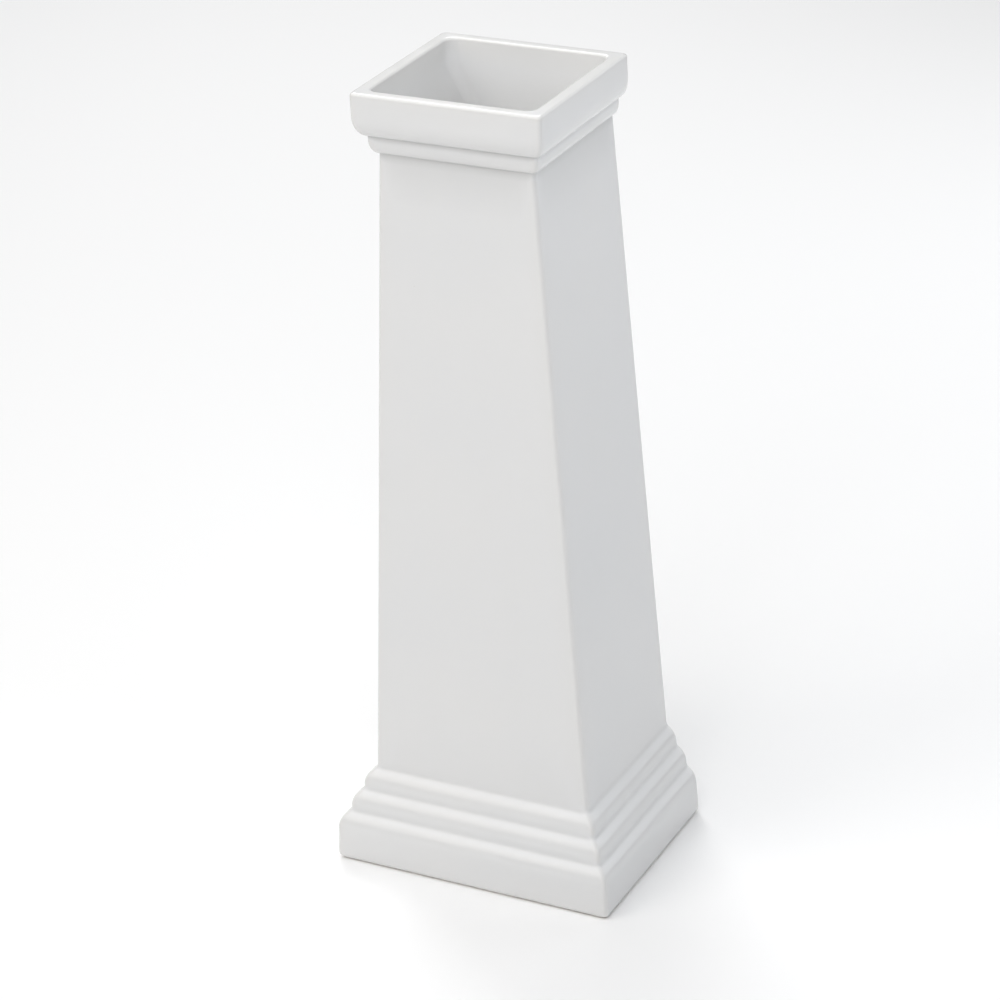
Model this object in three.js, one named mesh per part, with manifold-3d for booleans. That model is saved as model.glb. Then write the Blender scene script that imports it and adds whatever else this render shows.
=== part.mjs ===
// Square pedestal in the form of a pillar: one hollow casting of glazed vitreous china.
// Its shaft tapers up from a base of three rounded tiers to a moulded capital.
// The back is flat and flush, with a tall window in it for the pipes, and the hollow
// is open at the top and at the foot.
// Millimetres, +Z up. The front faces -Y. The origin is on the floor, under the middle
// of the plinth.

import * as THREE from 'three';
import { LoftGeometry } from 'three/addons/geometries/LoftGeometry.js';
import { mergeVertices } from 'three/addons/utils/BufferGeometryUtils.js';
import Module from 'manifold-3d';

// The whole casting
const HEIGHT = 690;
const WALL = 11;
const ARRIS_RADIUS = 3.5;
const HOLLOW_CORNER_RADIUS = 10;
const FOOT_EDGE_RADIUS = 5.5;
const RIM_EDGE_RADIUS = 2.5;
const INNER_EDGE_RADIUS = 2;

// Shaft: its width and its depth from the back, at its two ends
const SHAFT_BOTTOM = 82;
const SHAFT_BOTTOM_WIDTH = 200.2;
const SHAFT_BOTTOM_DEPTH = 161.3;
const SHAFT_TOP = 637.6;
const SHAFT_TOP_WIDTH = 136.5;
const SHAFT_TOP_DEPTH = 143.7;

// Base: each tier is one swelling curve, upright where it starts, and the lowest one tops the plinth
const TIER_COUNT = 3;
const TIER_RISE = 18.4;
const TIER_WIDTH = 9;
const TIER_UPRIGHT = 11.5;
const PLINTH_DRAFT = 1.1;

// Capital: a bead, a narrow fillet, an ovolo and a plain band up to the rim
const BEAD_WIDTH = 6.2;
const BEAD_HEIGHT = 11.5;
const FILLET_HEIGHT = 4.3;
const OVOLO_WIDTH = 8.7;
const OVOLO_HEIGHT = 17;

// Hollow: heights between which its walls slope out over the base and the capital
const HOLLOW_FLARE_FOOT = 20;
const HOLLOW_FLARE_SHAFT = 80;
const HOLLOW_NECK_SHAFT = 640;
const HOLLOW_NECK_RIM = 668;

// Window in the back, with jambs of one width all the way up
const WINDOW_SILL = 105;
const WINDOW_HEAD = 622;
const WINDOW_JAMB = 32;
const WINDOW_CORNER_RADIUS = 18;

// Fineness of the curves, in divisions as the paths count them
const CORNER_DIVISIONS = 3;
const MOULDING_DIVISIONS = 4;
const WINDOW_DIVISIONS = 6;

const BASE_PROJECTION = TIER_COUNT * TIER_WIDTH + PLINTH_DRAFT;
const CAPITAL_PROJECTION = BEAD_WIDTH + OVOLO_WIDTH;
const BACK = (SHAFT_BOTTOM_DEPTH + BASE_PROJECTION) / 2;
const QUARTER = Math.PI / 2;

// Half the shaft's width at a height. Its end sizes carry on into the base and the capital.
function shaftHalfWidth(z) {
  const width = THREE.MathUtils.mapLinear(z, SHAFT_BOTTOM, SHAFT_TOP, SHAFT_BOTTOM_WIDTH, SHAFT_TOP_WIDTH);
  return THREE.MathUtils.clamp(width, SHAFT_TOP_WIDTH, SHAFT_BOTTOM_WIDTH) / 2;
}

// The shaft's depth from the back plane at a height
function shaftDepth(z) {
  const depth = THREE.MathUtils.mapLinear(z, SHAFT_BOTTOM, SHAFT_TOP, SHAFT_BOTTOM_DEPTH, SHAFT_TOP_DEPTH);
  return THREE.MathUtils.clamp(depth, SHAFT_TOP_DEPTH, SHAFT_BOTTOM_DEPTH);
}

// Outer face, foot to rim: projection beyond the shaft against height
function outerProfile() {
  const profile = new THREE.Path();
  profile.moveTo(BASE_PROJECTION, FOOT_EDGE_RADIUS);
  profile.lineTo(TIER_COUNT * TIER_WIDTH, SHAFT_BOTTOM - TIER_COUNT * TIER_RISE);
  for (let above = TIER_COUNT - 1; above >= 0; above -= 1) {
    const { x, y } = profile.currentPoint;
    profile.quadraticCurveTo(x, y + TIER_UPRIGHT, above * TIER_WIDTH, SHAFT_BOTTOM - above * TIER_RISE);
  }
  const filletBottom = SHAFT_TOP + BEAD_HEIGHT;
  const ovoloTop = filletBottom + FILLET_HEIGHT + OVOLO_HEIGHT;
  profile.absellipse(0, filletBottom, BEAD_WIDTH, BEAD_HEIGHT, -QUARTER, 0);
  profile.absellipse(BEAD_WIDTH, ovoloTop, OVOLO_WIDTH, OVOLO_HEIGHT, -QUARTER, 0);
  profile.lineTo(CAPITAL_PROJECTION, HEIGHT - RIM_EDGE_RADIUS);
  return profile;
}

// Rim: distance in from the capital's face against height
function rimProfile() {
  const rim = new THREE.Path();
  rim.absarc(RIM_EDGE_RADIUS, HEIGHT - RIM_EDGE_RADIUS, RIM_EDGE_RADIUS, 2 * QUARTER, QUARTER, true);
  rim.absarc(WALL - INNER_EDGE_RADIUS, HEIGHT - INNER_EDGE_RADIUS, INNER_EDGE_RADIUS, QUARTER, 0, true);
  return rim;
}

// Hollow, rim to foot: the face that its wall follows against height
function hollowProfile() {
  const hollow = new THREE.Path();
  hollow.moveTo(CAPITAL_PROJECTION, HEIGHT - INNER_EDGE_RADIUS);
  hollow.lineTo(CAPITAL_PROJECTION, HOLLOW_NECK_RIM);
  hollow.lineTo(0, HOLLOW_NECK_SHAFT);
  hollow.lineTo(0, HOLLOW_FLARE_SHAFT);
  hollow.lineTo(BASE_PROJECTION, HOLLOW_FLARE_FOOT);
  hollow.lineTo(BASE_PROJECTION, INNER_EDGE_RADIUS);
  return hollow;
}

// Foot ring: distance in from the plinth's face against height
function footProfile() {
  const foot = new THREE.Path();
  foot.absarc(WALL - INNER_EDGE_RADIUS, INNER_EDGE_RADIUS, INNER_EDGE_RADIUS, 0, -QUARTER, true);
  foot.absarc(FOOT_EDGE_RADIUS, FOOT_EDGE_RADIUS, FOOT_EDGE_RADIUS, -QUARTER, -2 * QUARTER, true);
  return foot;
}

// One level of the wall: a rounded rectangle, set in from the face by the same amount all round.
// The mouldings run round the front and the sides, and the back stays flat.
function wallSection({ face, inset, z }) {
  const right = shaftHalfWidth(z) + face - inset;
  const back = BACK - inset;
  const front = BACK - shaftDepth(z) - face + inset;
  const radius = THREE.MathUtils.mapLinear(inset, 0, WALL, ARRIS_RADIUS, HOLLOW_CORNER_RADIUS);
  const plan = new THREE.Path();
  plan.absarc(right - radius, back - radius, radius, 0, QUARTER);
  plan.absarc(radius - right, back - radius, radius, QUARTER, 2 * QUARTER);
  plan.absarc(radius - right, front + radius, radius, 2 * QUARTER, 3 * QUARTER);
  plan.absarc(right - radius, front + radius, radius, 3 * QUARTER, 4 * QUARTER);
  return plan.getPoints(CORNER_DIVISIONS).map(({ x, y }) => new THREE.Vector3(x, y, z));
}

// The wall runs up the outside, over the rim, down the hollow and under the foot to where it began.
function wallGeometry() {
  const outer = outerProfile().getPoints(MOULDING_DIVISIONS);
  const rim = rimProfile().getPoints(CORNER_DIVISIONS);
  const hollow = hollowProfile().getPoints();
  const foot = footProfile().getPoints(CORNER_DIVISIONS);
  // Each run begins where the one before it ends, so its own first point is dropped.
  const levels = [
    ...outer.map(({ x, y }) => ({ face: x, inset: 0, z: y })),
    ...rim.slice(1).map(({ x, y }) => ({ face: CAPITAL_PROJECTION, inset: x, z: y })),
    ...hollow.slice(1).map(({ x, y }) => ({ face: x, inset: WALL, z: y })),
    ...foot.slice(1).map(({ x, y }) => ({ face: BASE_PROJECTION, inset: x, z: y })),
  ];
  return new LoftGeometry(levels.map(wallSection));
}

// The window's block, standing through the back wall. Its sides lean in with the shaft's.
function windowGeometry() {
  const lean = Math.atan((SHAFT_BOTTOM_WIDTH - SHAFT_TOP_WIDTH) / 2 / (SHAFT_TOP - SHAFT_BOTTOM));
  const low = WINDOW_SILL + WINDOW_CORNER_RADIUS;
  const high = WINDOW_HEAD - WINDOW_CORNER_RADIUS;
  const sideGap = WINDOW_JAMB + WINDOW_CORNER_RADIUS / Math.cos(lean);
  const lowX = shaftHalfWidth(low) - sideGap;
  const highX = shaftHalfWidth(high) - sideGap;
  const outline = new THREE.Shape();
  outline.absarc(lowX, low, WINDOW_CORNER_RADIUS, -QUARTER, lean);
  outline.absarc(highX, high, WINDOW_CORNER_RADIUS, lean, QUARTER);
  outline.absarc(-highX, high, WINDOW_CORNER_RADIUS, QUARTER, 2 * QUARTER - lean);
  outline.absarc(-lowX, low, WINDOW_CORNER_RADIUS, 2 * QUARTER - lean, 3 * QUARTER);
  const block = new THREE.ExtrudeGeometry(outline, {
    depth: 2 * WALL,
    bevelEnabled: false,
    curveSegments: WINDOW_DIVISIONS,
  });
  return block.rotateX(QUARTER).translate(0, BACK + WALL / 2, 0);
}

const wasm = await Module();
wasm.setup();

function toSolid(geometry) {
  const bare = new THREE.BufferGeometry();
  bare.setAttribute('position', geometry.getAttribute('position'));
  bare.setIndex(geometry.getIndex());
  const merged = mergeVertices(bare);
  const mesh = new wasm.Mesh({
    numProp: 3,
    vertProperties: new Float32Array(merged.getAttribute('position').array),
    triVerts: new Uint32Array(merged.getIndex().array),
  });
  return new wasm.Manifold(mesh);
}

function toGeometry(solid) {
  const { vertProperties, triVerts } = solid.getMesh();
  const geometry = new THREE.BufferGeometry();
  geometry.setAttribute('position', new THREE.BufferAttribute(vertProperties, 3));
  geometry.setIndex(new THREE.BufferAttribute(triVerts, 1));
  geometry.computeVertexNormals();
  return geometry;
}

const whiteGlaze = new THREE.MeshStandardMaterial({ color: 0xe8e8e4, roughness: 0.15, metalness: 0 });

const casting = toSolid(wallGeometry()).subtract(toSolid(windowGeometry()));
const pedestal = new THREE.Mesh(toGeometry(casting), whiteGlaze);
pedestal.name = 'pedestal';

const part = new THREE.Group();
part.add(pedestal);

export default part;
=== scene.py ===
import math

import bmesh
import bpy
from mathutils import Matrix, Vector


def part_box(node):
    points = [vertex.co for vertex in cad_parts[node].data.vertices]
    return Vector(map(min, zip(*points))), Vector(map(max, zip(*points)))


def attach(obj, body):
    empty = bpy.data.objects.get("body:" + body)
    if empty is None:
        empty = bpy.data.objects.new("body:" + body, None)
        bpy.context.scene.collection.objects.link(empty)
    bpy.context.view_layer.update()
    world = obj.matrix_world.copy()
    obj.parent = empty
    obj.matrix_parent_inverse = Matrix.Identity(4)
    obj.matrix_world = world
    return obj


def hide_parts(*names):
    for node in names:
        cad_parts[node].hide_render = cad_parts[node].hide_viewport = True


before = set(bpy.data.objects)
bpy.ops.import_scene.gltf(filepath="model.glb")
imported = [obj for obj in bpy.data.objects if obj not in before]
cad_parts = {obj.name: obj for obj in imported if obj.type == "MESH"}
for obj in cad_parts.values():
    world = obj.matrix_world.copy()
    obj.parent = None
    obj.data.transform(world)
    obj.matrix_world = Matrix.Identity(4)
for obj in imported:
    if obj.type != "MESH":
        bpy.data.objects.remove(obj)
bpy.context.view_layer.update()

# Pedestal
# One hollow casting of vitreous china: slip is poured into a plaster mould, drained, fettled by hand,
# sprayed with white glaze and fired. The mouldings run round the front and the sides, the back is flat with
# a window cut in it for the pipes, and the foot ring is wiped bare so that it doesn't stick to the shelf
# of the kiln.

_, high_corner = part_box("pedestal")
rim_height = high_corner.z
back_face = high_corner.y
wall = 0.011
arris_radius = 0.0035
hollow_corner_radius = 0.010
foot_edge = 0.0055
rim_edge = 0.0025
inner_edge = 0.002

shaft_bottom = 0.082
shaft_top = 0.6376
shaft_half_width = (0.1001, 0.06825)
shaft_depth = (0.1613, 0.1437)

tier_count = 3
tier_rise = 0.0184
tier_width = 0.009
tier_upright = 0.0115
tier_crevice = 0.003
plinth_draft = 0.0011
plinth_projection = tier_count * tier_width + plinth_draft

bead = (0.0062, 0.0115)
fillet_height = 0.0043
ovolo = (0.0087, 0.017)
capital_crevice = 0.0007
capital_projection = bead[0] + ovolo[0]

hollow_flare = (0.020, 0.080)
hollow_neck = (0.640, 0.668)

window_sill = 0.105
window_head = 0.622
window_jamb = 0.032
window_corner_radius = 0.018
window_edge = 0.0025

# Fineness of the mesh: steps in each kind of curve, rows up the shaft and the hollow, and columns across
# a side. A supporting row stands close by each end of a flat face, to keep it flat.
round_steps = 12
crevice_steps = 5
edge_steps = 5
corner_steps = 10
shaft_rows = 36
hollow_rows = 12
side_columns = 11
support = 0.004
shaft_row_margin = 0.026
weld = 1e-6
cut_edge_angle = math.radians(60)
round_profile = 0.5
turn_digits = 9

# The fired wall stands a little out of true, in slow waves.
warp = 0.0003
warp_size = 0.16
noise_middle = (0.5, 0.5, 0.5)


def between(start, end, count):
    """Evenly spaced values from start to end, both counted."""
    return [start + (end - start) * step / (count - 1) for step in range(count)]


def arc(centre, radii, start, end, steps):
    """Points of an elliptical arc between two angles in degrees."""
    points = []
    for degrees in between(start, end, steps + 1):
        angle = math.radians(degrees)
        points.append((centre[0] + radii[0] * math.cos(angle), centre[1] + radii[1] * math.sin(angle)))
    return points


def swell(start, corner, end, steps):
    """Points of a curve that leaves its start towards a corner and comes to its end from that corner."""
    points = []
    for share in between(0, 1, steps + 1):
        points.append(start.lerp(corner, share).lerp(corner.lerp(end, share), share))
    return points


def outer_face():
    """Projection beyond the shaft against height, from the foot to the rim."""
    points = [(plinth_projection, foot_edge), (plinth_projection, foot_edge + support)]
    slope = Vector((-tier_width, tier_rise - tier_upright)).normalized()
    for above in reversed(range(tier_count)):
        top = Vector((above * tier_width, shaft_bottom - above * tier_rise))
        foot = Vector((top.x + tier_width, top.y - tier_rise))
        start = foot + Vector((0, tier_crevice))
        end = top - slope * tier_crevice
        next_start = top + Vector((0, tier_crevice))
        points += swell(start, foot + Vector((0, tier_upright)), end, round_steps)
        points += swell(end, top, next_start, crevice_steps)[1:-1]
    points += [next_start, (0, shaft_bottom + 2 * support)]
    rows = between(window_sill + shaft_row_margin, window_head - shaft_row_margin, shaft_rows)
    points += [(0, z) for z in rows]
    points.append((0, shaft_top - 2 * support))
    reach = 0
    bottom = shaft_top
    for radii in (bead, ovolo):
        first = -math.degrees(math.acos(capital_crevice / radii[0]))
        round_face = arc((reach, bottom + radii[1]), radii, first, 0, round_steps)
        hollow_centre = (reach + capital_crevice, round_face[0][1] - capital_crevice)
        points += arc(hollow_centre, (capital_crevice, capital_crevice), 180, 90, crevice_steps)[:-1]
        points += round_face
        reach += radii[0]
        bottom += radii[1] + fillet_height
    points.append((reach, rim_height - rim_edge - support))
    points.append((reach, rim_height - rim_edge))
    return points


def hollow_wall():
    """The face that the hollow's wall keeps its distance from, against height, from the rim to the foot."""
    rows = between(hollow_neck[0], hollow_flare[1], hollow_rows)
    points = [(capital_projection, hollow_neck[1])]
    points += [(0, z) for z in rows]
    points += [(plinth_projection, hollow_flare[0]), (plinth_projection, inner_edge)]
    return points


def wall_section():
    """The wall cut through, as face, inset and height: up the outside, over, down the hollow and under."""
    section = [(face, 0, z) for face, z in outer_face()]
    rim = arc((rim_edge, rim_height - rim_edge), (rim_edge, rim_edge), 180, 90, edge_steps)
    rim += arc((wall - inner_edge, rim_height - inner_edge), (inner_edge, inner_edge), 90, 0, edge_steps)
    section += [(capital_projection, inset, z) for inset, z in rim[1:]]
    section += [(face, wall, z) for face, z in hollow_wall()]
    foot = arc((wall - inner_edge, inner_edge), (inner_edge, inner_edge), 360, 270, edge_steps)
    foot += arc((foot_edge, foot_edge), (foot_edge, foot_edge), 270, 180, edge_steps)
    section += [(plinth_projection, inset, z) for inset, z in foot[1:]]
    return section


def guide(name, points, **directions):
    """A string of points that a node tree reads, with a vector on each point for every named direction."""
    mesh = bpy.data.meshes.new(name)
    mesh.from_pydata(points, [], [])
    for label, vectors in directions.items():
        layer = mesh.attributes.new(label, "FLOAT_VECTOR", "POINT")
        layer.data.foreach_set("vector", [value for vector in vectors for value in vector])
    made = bpy.data.objects.new(name, mesh)
    bpy.context.scene.collection.objects.link(made)
    return made


def wall_plan():
    """The plan from the back right corner round to itself: which corner each point belongs to, as signs
    that slide from one corner to the next along a side, how far round the corner it turns, and its run
    along the side from the corner."""
    corners = []
    turns = []
    runs = []

    def place(corner, angle, run):
        across = round(math.cos(math.radians(angle)), turn_digits)
        along = round(math.sin(math.radians(angle)), turn_digits)
        turn = (across, along, 0)
        corners.append(corner)
        turns.append(turn)
        runs.append((-along * run, across * run, 0))

    signs = [Vector((1, 1, 0)), Vector((-1, 1, 0)), Vector((-1, -1, 0)), Vector((1, -1, 0))]
    for quarter, corner in enumerate(signs):
        following = signs[(quarter + 1) % len(signs)]
        start, end = 90 * quarter, 90 * (quarter + 1)
        place(corner, start, -support)
        for angle in between(start, end, corner_steps + 1):
            place(corner, angle, 0)
        place(corner, end, support)
        is_back = corner.y > 0 and following.y > 0
        if not is_back:
            for share in between(0, 1, side_columns + 2)[1:-1]:
                place(corner.lerp(following, share), end, 0)
    for strand in (corners, turns, runs):
        strand.append(strand[0])
    return guide("wall plan", corners, turn=turns, run=runs)


def make(tree, kind, inputs, **settings):
    """Adds a node with its settings, links the inputs that are sockets and sets the others."""
    node = tree.nodes.new(kind)
    for name, setting in settings.items():
        setattr(node, name, setting)
    for key, value in inputs.items():
        if isinstance(value, bpy.types.NodeSocket):
            tree.links.new(value, node.inputs[key])
        else:
            node.inputs[key].default_value = value
    return node


def reckon(tree, operation, first, second):
    return make(tree, "ShaderNodeMath", {0: first, 1: second}, operation=operation).outputs[0]


def reckon_vectors(tree, operation, first, second):
    return make(tree, "ShaderNodeVectorMath", {0: first, 1: second}, operation=operation).outputs[0]


def combine(tree, **parts):
    return make(tree, "ShaderNodeCombineXYZ", parts).outputs[0]


def points_of(tree, strand):
    """A guide's points, and how many they are."""
    points = make(tree, "GeometryNodeObjectInfo", {"Object": strand}).outputs["Geometry"]
    count = make(tree, "GeometryNodeAttributeDomainSize", {"Geometry": points}).outputs["Point Count"]
    return points, count


def read(tree, points, field, place):
    """A vector of the guide's point at a place in its string."""
    inputs = {"Geometry": points, "Value": field, "Index": place}
    return make(tree, "GeometryNodeSampleIndex", inputs, data_type="FLOAT_VECTOR").outputs[0]


def named_vector(tree, name):
    wanted = {"Name": name}
    return make(tree, "GeometryNodeInputNamedAttribute", wanted, data_type="FLOAT_VECTOR").outputs[0]


def taper(tree, given, size, z):
    """One of the shaft's sizes at a height. Its end sizes carry on into the base and the capital."""
    return make(tree, "ShaderNodeMapRange", {
        "Value": z,
        "From Min": given["Shaft bottom"],
        "From Max": given["Shaft top"],
        "To Min": given[size + " at bottom"],
        "To Max": given[size + " at top"],
    }).outputs[0]


def swept_wall(tree, given):
    """The wall's section carried round its plan: a sheet of rows and columns that closes both ways."""
    section, rows = points_of(tree, given["Wall section"])
    plan, columns = points_of(tree, given["Wall plan"])
    sheet = make(tree, "GeometryNodeMeshGrid", {"Vertices X": columns, "Vertices Y": rows}).outputs["Mesh"]
    index = tree.nodes.new("GeometryNodeInputIndex").outputs[0]
    position = tree.nodes.new("GeometryNodeInputPosition").outputs[0]
    column = make(tree, "FunctionNodeIntegerMath", {0: index, 1: rows}, operation="DIVIDE_FLOOR").outputs[0]
    row = make(tree, "FunctionNodeIntegerMath", {0: index, 1: rows}, operation="MODULO").outputs[0]

    face, inset, z = make(tree, "ShaderNodeSeparateXYZ", {0: read(tree, section, position, row)}).outputs
    beyond = reckon(tree, "SUBTRACT", face, inset)
    half_width = reckon(tree, "ADD", taper(tree, given, "Half width", z), beyond)
    depth = reckon(tree, "ADD", taper(tree, given, "Depth", z), beyond)
    back = reckon(tree, "SUBTRACT", given["Back"], inset)
    front = reckon(tree, "SUBTRACT", given["Back"], depth)
    middle = reckon(tree, "MULTIPLY", reckon(tree, "ADD", back, front), 0.5)
    half_depth = reckon(tree, "MULTIPLY", reckon(tree, "SUBTRACT", back, front), 0.5)
    radius = make(tree, "ShaderNodeMapRange", {
        "Value": inset,
        "From Max": given["Wall"],
        "To Min": given["Arris radius"],
        "To Max": given["Hollow corner radius"],
    }).outputs[0]

    reach_x = reckon(tree, "SUBTRACT", half_width, radius)
    reach_y = reckon(tree, "SUBTRACT", half_depth, radius)
    reach = combine(tree, X=reach_x, Y=reach_y)
    corner = reckon_vectors(tree, "MULTIPLY", read(tree, plan, position, column), reach)
    around = read(tree, plan, named_vector(tree, "turn"), column)
    turn = make(tree, "ShaderNodeVectorMath", {0: around, "Scale": radius}, operation="SCALE").outputs[0]
    run = read(tree, plan, named_vector(tree, "run"), column)
    swept = combine(tree, Y=middle, Z=z)
    for step in (corner, turn, run):
        swept = reckon_vectors(tree, "ADD", swept, step)
    shell = make(tree, "GeometryNodeSetPosition", {"Geometry": sheet, "Position": swept}).outputs[0]
    return make(tree, "GeometryNodeMergeByDistance", {"Geometry": shell, "Distance": weld}).outputs[0]


def window_block(tree, given):
    """The block that is cut out of the back, with round corners and sides that lean in with the shaft's.
    It is three walls thick, so that it stands out on both sides."""
    sill, head = given["Window sill"], given["Window head"]

    def width(z):
        half = reckon(tree, "SUBTRACT", taper(tree, given, "Half width", z), given["Window jamb"])
        return reckon(tree, "MULTIPLY", half, 2)

    outline = make(tree, "GeometryNodeCurvePrimitiveQuadrilateral", {
        "Height": reckon(tree, "SUBTRACT", head, sill),
        "Bottom Width": width(sill),
        "Top Width": width(head),
        "Offset": 0,
    }, mode="TRAPEZOID").outputs[0]
    rounded = {"Curve": outline, "Count": corner_steps, "Radius": given["Window corner radius"]}
    outline = make(tree, "GeometryNodeFilletCurve", rounded, mode="POLY").outputs[0]
    pane = make(tree, "GeometryNodeFillCurve", {"Curve": outline}, mode="NGONS").outputs[0]
    pane = make(tree, "GeometryNodeTransform", {
        "Geometry": pane,
        "Translation": combine(
            tree,
            Y=reckon(tree, "ADD", given["Back"], given["Wall"]),
            Z=reckon(tree, "MULTIPLY", reckon(tree, "ADD", sill, head), 0.5),
        ),
        "Rotation": (math.radians(90), 0, 0),
    }).outputs[0]
    block = make(tree, "GeometryNodeExtrudeMesh", {
        "Mesh": pane,
        "Offset": (0, -1, 0),
        "Offset Scale": reckon(tree, "MULTIPLY", given["Wall"], 3),
        "Individual": False,
    }).outputs["Mesh"]
    lid = make(tree, "GeometryNodeFlipFaces", {"Mesh": pane}).outputs[0]
    joined = tree.nodes.new("GeometryNodeJoinGeometry")
    for piece in (block, lid):
        tree.links.new(piece, joined.inputs[0])
    closed = {"Geometry": joined.outputs[0], "Distance": weld}
    return make(tree, "GeometryNodeMergeByDistance", closed).outputs[0]


def fired(tree, given, shape):
    """The wall drawn a little out of true, sideways only, so that the foot and the rim stay level."""
    waves = make(tree, "ShaderNodeTexNoise", {"Scale": reckon(tree, "DIVIDE", 1, given["Warp size"])})
    sway = reckon_vectors(tree, "SUBTRACT", waves.outputs["Color"], noise_middle)
    reach = reckon(tree, "MULTIPLY", given["Warp"], 2)
    offset = reckon_vectors(tree, "MULTIPLY", sway, combine(tree, X=reach, Y=reach))
    return make(tree, "GeometryNodeSetPosition", {"Geometry": shape, "Offset": offset}).outputs[0]


def casting_tree(sizes):
    """The tree that sweeps the wall, cuts the window out of its back and warps it."""
    tree = bpy.data.node_groups.new("slip casting", "GeometryNodeTree")
    tree.interface.new_socket("Casting", in_out="OUTPUT", socket_type="NodeSocketGeometry")
    kinds = {bpy.types.Object: "NodeSocketObject", bpy.types.Material: "NodeSocketMaterial"}
    for name, value in sizes.items():
        kind = kinds.get(type(value), "NodeSocketFloat")
        tree.interface.new_socket(name, in_out="INPUT", socket_type=kind)
    given = tree.nodes.new("NodeGroupInput").outputs

    parts = {"Mesh 1": swept_wall(tree, given), "Mesh 2": window_block(tree, given)}
    cut = make(tree, "GeometryNodeMeshBoolean", parts, operation="DIFFERENCE", solver="EXACT").outputs[0]
    smooth = make(tree, "GeometryNodeSetShadeSmooth", {"Geometry": fired(tree, given, cut)}).outputs[0]
    real = make(tree, "GeometryNodeRealizeInstances", {"Geometry": smooth}).outputs[0]
    coat = {"Geometry": real, "Material": given["Glaze"]}
    glazed = make(tree, "GeometryNodeSetMaterial", coat).outputs[0]
    make(tree, "NodeGroupOutput", {0: glazed})
    return tree


def cast(name, sizes):
    """Runs the casting tree with its sizes and keeps the outcome as a plain mesh."""
    tree = casting_tree(sizes)
    casting = bpy.data.objects.new(name, bpy.data.meshes.new(name))
    bpy.context.scene.collection.objects.link(casting)
    modifier = casting.modifiers.new("casting", "NODES")
    modifier.node_group = tree
    for item in tree.interface.items_tree:
        if item.in_out == "INPUT":
            modifier[item.identifier] = sizes[item.name]
    evaluated = casting.evaluated_get(bpy.context.evaluated_depsgraph_get())
    mesh = bpy.data.meshes.new_from_object(evaluated)
    casting.modifiers.remove(modifier)
    casting.data = mesh
    return casting


def fettle(shape):
    """Rounds the edges that the window's cut left sharp."""
    sharp = [edge for edge in shape.edges if edge.calc_face_angle(0) > cut_edge_angle]
    bmesh.ops.bevel(shape, geom=sharp, offset=window_edge, segments=edge_steps, profile=round_profile,
                    affect="EDGES")


# How the glaze lies: it draws thin over an arris of the settling radius and pools in a crevice of the same,
# and the pooled colour is darkened well past what pooling gives, as painted shade in the crevices.
# It laps over the rim into the hollow, which the spray misses, and the foot ring is wiped.
settle_radius = 0.002
settle_passes = 4
bare_facing = -0.2
wiped_facing = -0.7
lap_depth = 0.13
lap_waver = 0.030
lap_feather = 0.008

glaze_white = (0.80, 0.80, 0.798, 1)
glaze_cloud = (0.785, 0.79, 0.795, 1)
glaze_thin = (0.78, 0.765, 0.73, 1)
# Pooled glaze, far darker than the white: partly the glaze's own pooling, mostly painted shade for the
# crevices under the mouldings.
pooled_glaze_and_painted_shade = (0.60, 0.605, 0.60, 1)
body_light = (0.76, 0.735, 0.685, 1)
body_dark = (0.71, 0.68, 0.625, 1)
speck_colour = (0.42, 0.39, 0.34, 1)
glaze_roughness = (0.13, 0.22)
body_roughness = 0.85
glaze_ior = 1.52

noise_ends = (0.3, 0.7)
cloud_size = 0.12
ripple_size, ripple_height = 0.028, 0.00003
peel_size, peel_height = 0.0035, 0.000004
grain_size, grain_height = 0.0016, 0.00006
speck_spacing, speck_radius = 0.045, 0.0004
speck_share = 0.35


def glaze_settle_and_painted_shade(shape):
    """How the glaze settles at each point, from -1 where it is drawn thin to 1 where it pools and where the
    crevices' painted shade is laid.
    """
    settle_and_shade = {}
    for vert in shape.verts:
        bend = sum(edge.calc_face_angle_signed(0) * edge.calc_length() for edge in vert.link_edges)
        area = sum(face.calc_area() for face in vert.link_faces)
        settle_and_shade[vert] = max(-1, min(1, -bend * settle_radius / area))
    for _ in range(settle_passes):
        spread = {}
        for vert in shape.verts:
            near = [(edge.other_vert(vert), 1 / edge.calc_length()) for edge in vert.link_edges]
            mean = sum(settle_and_shade[other] * pull for other, pull in near) / sum(pull for _, pull in near)
            spread[vert] = (settle_and_shade[vert] + mean) / 2
        settle_and_shade = spread
    return settle_and_shade


def is_bare(vert):
    """Whether a point is on the foot ring or faces into the hollow."""
    if vert.co.z < foot_edge and vert.normal.z < wiped_facing:
        return True
    outward = Vector((vert.co.x, vert.co.y, 0)).normalized()
    in_window = vert.co.y > back_face - wall / 2
    return vert.normal.dot(outward) < bare_facing and not in_window


def mark_glaze(shape):
    """Keeps on each point how the glaze settles there, which also places the painted shade in crevices, and
    where the body is left bare.
    """
    settle_and_shade_layer = shape.verts.layers.float.new("settle_and_shade")
    bare_layer = shape.verts.layers.float.new("bare")
    for vert, settle_and_shade in glaze_settle_and_painted_shade(shape).items():
        vert[settle_and_shade_layer] = settle_and_shade
        vert[bare_layer] = is_bare(vert)


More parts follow.
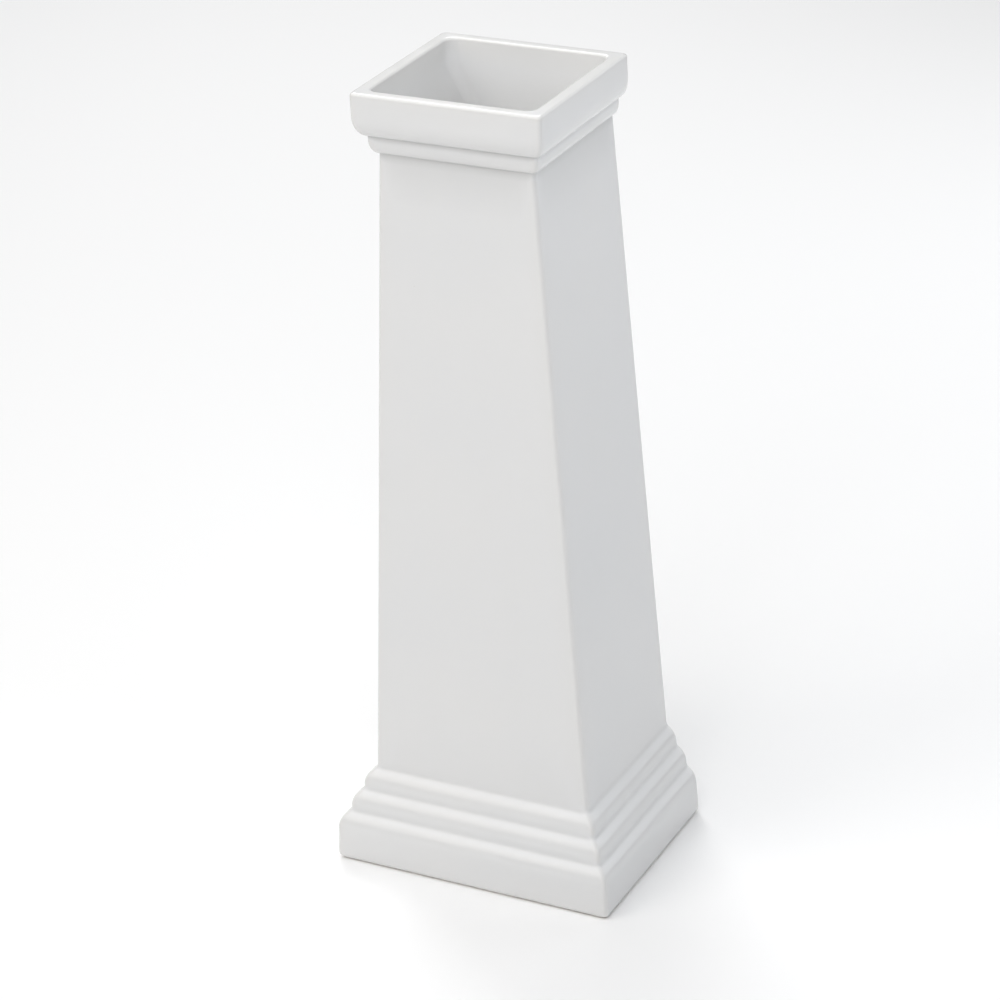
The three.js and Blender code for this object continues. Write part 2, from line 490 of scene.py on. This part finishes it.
def white_glaze():
    """Gloss white glaze over an ivory body, with the small faults that firing leaves and painted shade in
    its crevices.
    """
    glaze = bpy.data.materials.new("white glaze")
    glaze.use_nodes = True
    tree = glaze.node_tree
    place = tree.nodes.new("ShaderNodeTexCoord").outputs["Object"]

    def noise(size):
        return make(tree, "ShaderNodeTexNoise", {"Vector": place, "Scale": 1 / size}).outputs["Fac"]

    def mark(name):
        return make(tree, "ShaderNodeAttribute", {}, attribute_name=name).outputs["Fac"]

    def scale(value, start, end, to_start=0, to_end=1):
        ends = {"From Min": start, "From Max": end, "To Min": to_start, "To Max": to_end}
        return make(tree, "ShaderNodeMapRange", {"Value": value, **ends}).outputs[0]

    def blend(share, first, second):
        """One colour turned towards another. The node keeps its colours in sockets 6 and 7, and gives 2."""
        colours = {"Factor": share, 6: first, 7: second}
        return make(tree, "ShaderNodeMix", colours, data_type="RGBA").outputs[2]

    height = make(tree, "ShaderNodeSeparateXYZ", {0: place}).outputs["Z"]
    lap_height = rim_height - lap_depth
    lap = scale(noise(lap_waver), 0, 1, lap_height - lap_waver, lap_height + lap_waver)
    below_lap = scale(reckon(tree, "SUBTRACT", lap, height), -lap_feather, lap_feather)
    bare = reckon(tree, "MULTIPLY", mark("bare"), below_lap)
    settle_and_shade = mark("settle_and_shade")

    colour = blend(scale(noise(cloud_size), *noise_ends), glaze_white, glaze_cloud)
    colour = blend(scale(settle_and_shade, 0, -1), colour, glaze_thin)
    # Painted shade: the crevices are turned dark grey for the shade that falls in them, on top of the
    # glaze's own pooling.
    colour = blend(scale(settle_and_shade, 0, 1), colour, pooled_glaze_and_painted_shade)
    cells = make(tree, "ShaderNodeTexVoronoi", {"Vector": place, "Scale": 1 / speck_spacing}).outputs
    in_speck = scale(cells["Distance"], speck_radius / speck_spacing, 0)
    chosen = make(tree, "ShaderNodeSeparateColor", {0: cells["Color"]}).outputs["Red"]
    chosen = reckon(tree, "LESS_THAN", chosen, speck_share)
    colour = blend(reckon(tree, "MULTIPLY", in_speck, chosen), colour, speck_colour)
    body = blend(scale(noise(lap_waver), *noise_ends), body_light, body_dark)
    colour = blend(bare, colour, body)

    gloss = scale(noise(ripple_size), *noise_ends, *glaze_roughness)
    roughness = make(tree, "ShaderNodeMix", {"Factor": bare, "A": gloss, "B": body_roughness}).outputs[0]
    relief = reckon(tree, "MULTIPLY", noise(ripple_size), ripple_height)
    relief = reckon(tree, "ADD", relief, reckon(tree, "MULTIPLY", noise(peel_size), peel_height))
    grain = reckon(tree, "MULTIPLY", reckon(tree, "MULTIPLY", noise(grain_size), bare), grain_height)
    relief = reckon(tree, "ADD", relief, grain)
    normal = make(tree, "ShaderNodeBump", {"Height": relief, "Distance": 1}).outputs[0]

    surface = tree.nodes["Principled BSDF"].inputs
    for name, socket in (("Base Color", colour), ("Roughness", roughness), ("Normal", normal)):
        tree.links.new(socket, surface[name])
    surface["IOR"].default_value = glaze_ior
    return glaze


pedestal_sizes = {
    "Shaft bottom": shaft_bottom,
    "Shaft top": shaft_top,
    "Half width at bottom": shaft_half_width[0],
    "Half width at top": shaft_half_width[1],
    "Depth at bottom": shaft_depth[0],
    "Depth at top": shaft_depth[1],
    "Back": back_face,
    "Wall": wall,
    "Arris radius": arris_radius,
    "Hollow corner radius": hollow_corner_radius,
    "Window sill": window_sill,
    "Window head": window_head,
    "Window jamb": window_jamb,
    "Window corner radius": window_corner_radius,
    "Warp": warp,
    "Warp size": warp_size,
}
section_guide = guide("wall section", wall_section())
plan_guide = wall_plan()
guides = {"Wall section": section_guide, "Wall plan": plan_guide, "Glaze": white_glaze()}
pedestal = cast("pedestal_casting", {**guides, **pedestal_sizes})
for spent in (section_guide, plan_guide):
    bpy.data.objects.remove(spent)

shape = bmesh.new()
shape.from_mesh(pedestal.data)
fettle(shape)
shape.normal_update()
mark_glaze(shape)
shape.to_mesh(pedestal.data)
shape.free()

even_normals = pedestal.modifiers.new("even normals", "WEIGHTED_NORMAL")
even_normals.keep_sharp = True
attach(pedestal, "root")
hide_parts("pedestal")

# Floor
# A pale matt sheet that runs out past the camera's view on every side. It is only what the pedestal is
# shown on.

floor_reach = 12
floor_colour = (0.95, 0.95, 0.95, 1)
floor_roughness = 0.9
floor_specular = 0.1
floor_corners = [(-floor_reach, -floor_reach, 0), (floor_reach, -floor_reach, 0),
                 (floor_reach, floor_reach, 0), (-floor_reach, floor_reach, 0)]
floor_mesh = bpy.data.meshes.new("floor")
floor_mesh.from_pydata(floor_corners, [], [range(len(floor_corners))])
floor_sheet = bpy.data.materials.new("floor sheet")
floor_sheet.use_nodes = True
floor_surface = floor_sheet.node_tree.nodes["Principled BSDF"].inputs
floor_surface["Base Color"].default_value = floor_colour
floor_surface["Roughness"].default_value = floor_roughness
floor_surface["Specular IOR Level"].default_value = floor_specular
floor_mesh.materials.append(floor_sheet)
floor = bpy.data.objects.new("floor", floor_mesh)
bpy.context.scene.collection.objects.link(floor)

# Light
# A plain soft studio: an even, slightly cool surround, a wide lamp overhead, one at the front and a warmer
# one beside it, which set the front a little brighter than the right-hand side, two cool ones for that side
# and its tiers, and one that keeps the floor behind as pale as in front.

surround_colour = (0.945, 0.97, 1, 1)
surround_strength = 0.1
warm_light = (1, 0.94, 0.87)
white_light = (1, 1, 1)
cool_light = (0.95, 0.97, 1)
pedestal_middle = Vector((0, 0, 0.35))
pedestal_foot = Vector((0, 0, 0.1))
floor_behind = Vector((-0.3, 1.5, 0))


def lamp(name, place, aim, size, power, colour):
    """A square soft lamp that faces the point it is aimed at."""
    data = bpy.data.lights.new(name, "AREA")
    data.size = size
    data.energy = power
    data.color = colour
    made = bpy.data.objects.new(name, data)
    made.location = place
    made.rotation_euler = (aim - made.location).to_track_quat("-Z", "Y").to_euler()
    bpy.context.scene.collection.objects.link(made)


lamp("overhead lamp", (-0.4, -0.9, 2.9), pedestal_middle, size=3.0, power=53.4, colour=white_light)
lamp("front lamp", (0.35, -1.5, 1.5), pedestal_middle, size=1.2, power=7.7, colour=white_light)
lamp("front left lamp", (-1.2, -1.6, 1.5), pedestal_middle, size=1.2, power=8.3, colour=warm_light)
lamp("right lamp", (0.8, -0.1, 0.85), pedestal_middle, size=0.5, power=1.7, colour=cool_light)
lamp("back right lamp", (1.0, 1.75, 1.0), pedestal_foot, size=1.4, power=9.7, colour=cool_light)
lamp("floor lamp", (-1.7, 2.3, 3.0), floor_behind, size=1.8, power=66, colour=white_light)
world = bpy.data.worlds.new("studio")
world.use_nodes = True
surround = world.node_tree.nodes["Background"].inputs
surround["Color"].default_value = surround_colour
surround["Strength"].default_value = surround_strength
bpy.context.scene.world = world
bpy.context.scene.view_settings.view_transform = "Standard"

# Camera
# It stands to the right of the front and looks down on the pedestal, held a little out of level.

camera_azimuth = math.radians(28.24)
camera_elevation = math.radians(26.13)
camera_roll = math.radians(-3.03)
camera_distance = 2.81947
camera_target = Vector((-0.00329, 0.00136, 0.32253))
camera_sensor = 36
camera_lens = 122.593
turned = Matrix.Rotation(camera_azimuth, 3, "Z")
tipped = Matrix.Rotation(math.radians(90) - camera_elevation, 3, "X")
rolled = Matrix.Rotation(camera_roll, 3, "Z")
aim = turned @ tipped @ rolled
camera_data = bpy.data.cameras.new("camera")
camera_data.sensor_width = camera_sensor
camera_data.lens = camera_lens
camera = bpy.data.objects.new("camera", camera_data)
stand = camera_target + aim @ Vector((0, 0, camera_distance))
camera.matrix_world = Matrix.Translation(stand) @ aim.to_4x4()
bpy.context.scene.collection.objects.link(camera)
bpy.context.scene.camera = camera
